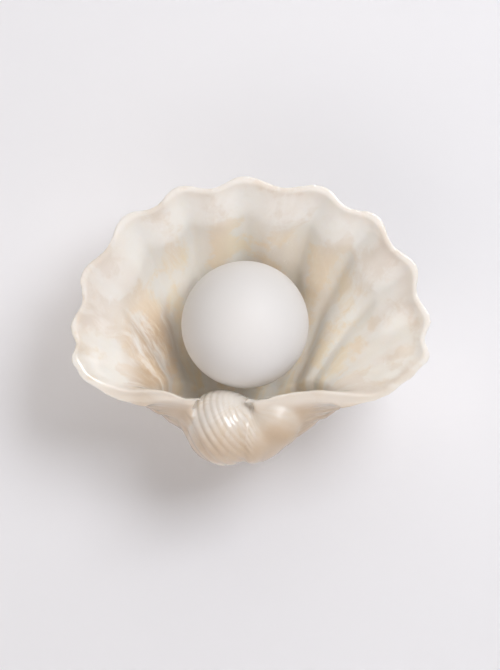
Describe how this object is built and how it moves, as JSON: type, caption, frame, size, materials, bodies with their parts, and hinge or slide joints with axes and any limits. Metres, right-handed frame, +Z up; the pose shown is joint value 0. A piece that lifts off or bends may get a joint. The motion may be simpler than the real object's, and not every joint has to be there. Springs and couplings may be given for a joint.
{
  "type": "shell wall sconce",
  "caption": "Wall light carved from translucent stone as an open ribbed shell, with a curled knob below and an opal glass globe in its bowl like a pearl.",
  "frame": {"origin": "on the wall plane, at the centre of the wall plate, on the axis that canopy, nipple and globe share", "axes": "+X to the right and +Z up as seen from the room, +Y into the wall; the light stands off the wall towards -Y"},
  "size_m": [0.3367, 0.16, 0.2715],
  "materials": {
    "alabaster": "polished honed stone, cream white with honey clouds",
    "opal_glass": "satin etched opal white",
    "silicone": "soft satin, translucent white",
    "frosted_cover": "frosted moulded cover",
    "bulb_plastic": "moulded, semi gloss white",
    "pin_metal": "nickel plated wire",
    "cup_metal": "spun steel, satin nickel plated",
    "strap_steel": "zinc plated pressed steel",
    "steatite": "pressed and fired, bare body with a light glaze",
    "zinc_steel": "zinc plated",
    "felt": "pressed wool felt",
    "black_rubber": "moulded matt rubber",
    "canopy_paint": "powder coated matt white",
    "foam": "closed cell foam",
    "brass": "turned, bright",
    "block_plastic": "moulded natural polyamide",
    "lead_brown": "silicone insulation, brown",
    "lead_blue": "silicone insulation, blue",
    "lead_green_yellow": "insulation, green with a yellow stripe"
  },
  "bodies": {
    "fixture": {"shell": "alabaster", "holder_cup": "cup_metal", "lampholder_strap": "strap_steel", "lampholder": "steatite", "lampholder_contacts": "brass", "lampholder_screws": "zinc_steel", "nipple": "zinc_steel", "back_nut": "zinc_steel", "back_lock_washer": "zinc_steel", "felt_washer": "felt", "cup_washer": "black_rubber", "front_lock_washer": "zinc_steel", "front_nut": "zinc_steel", "canopy": "canopy_paint", "canopy_foam": "foam", "canopy_screws": "zinc_steel", "wall_plate": "strap_steel", "terminal_block": "block_plastic", "terminal_clamps": "brass", "terminal_screws": "zinc_steel", "block_screw": "zinc_steel", "earth_screw": "zinc_steel", "earth_tag": "brass", "lead_live": "lead_brown", "lead_neutral": "lead_blue", "lead_earth": "lead_green_yellow"},
    "globe_turning": {"globe": "opal_glass"},
    "globe_lift": {"globe_seal": "silicone"},
    "bulb": {"bulb_envelope": "frosted_cover", "bulb_base": "bulb_plastic", "bulb_pins": "pin_metal"}
  },
  "joints": [
    {"name": "globe_travel", "type": "slide", "parent": "fixture", "child": "globe_lift", "axis": [0, -1, 0], "range_m": [0, 0.006]},
    {"name": "globe_turn", "type": "hinge", "parent": "globe_lift", "child": "globe_turning", "pos_m": [0, 0, 0], "axis": [0, -1, 0], "range_deg": [0, 720]},
    {"name": "bulb_pull", "type": "slide", "parent": "fixture", "child": "bulb", "axis": [0, -1, 0], "range_m": [0, 0.012]}
  ],
  "couplings": [
    {"joint": "globe_travel", "follows": "globe_turn", "m_per_rad": 0.00047746}
  ]
}
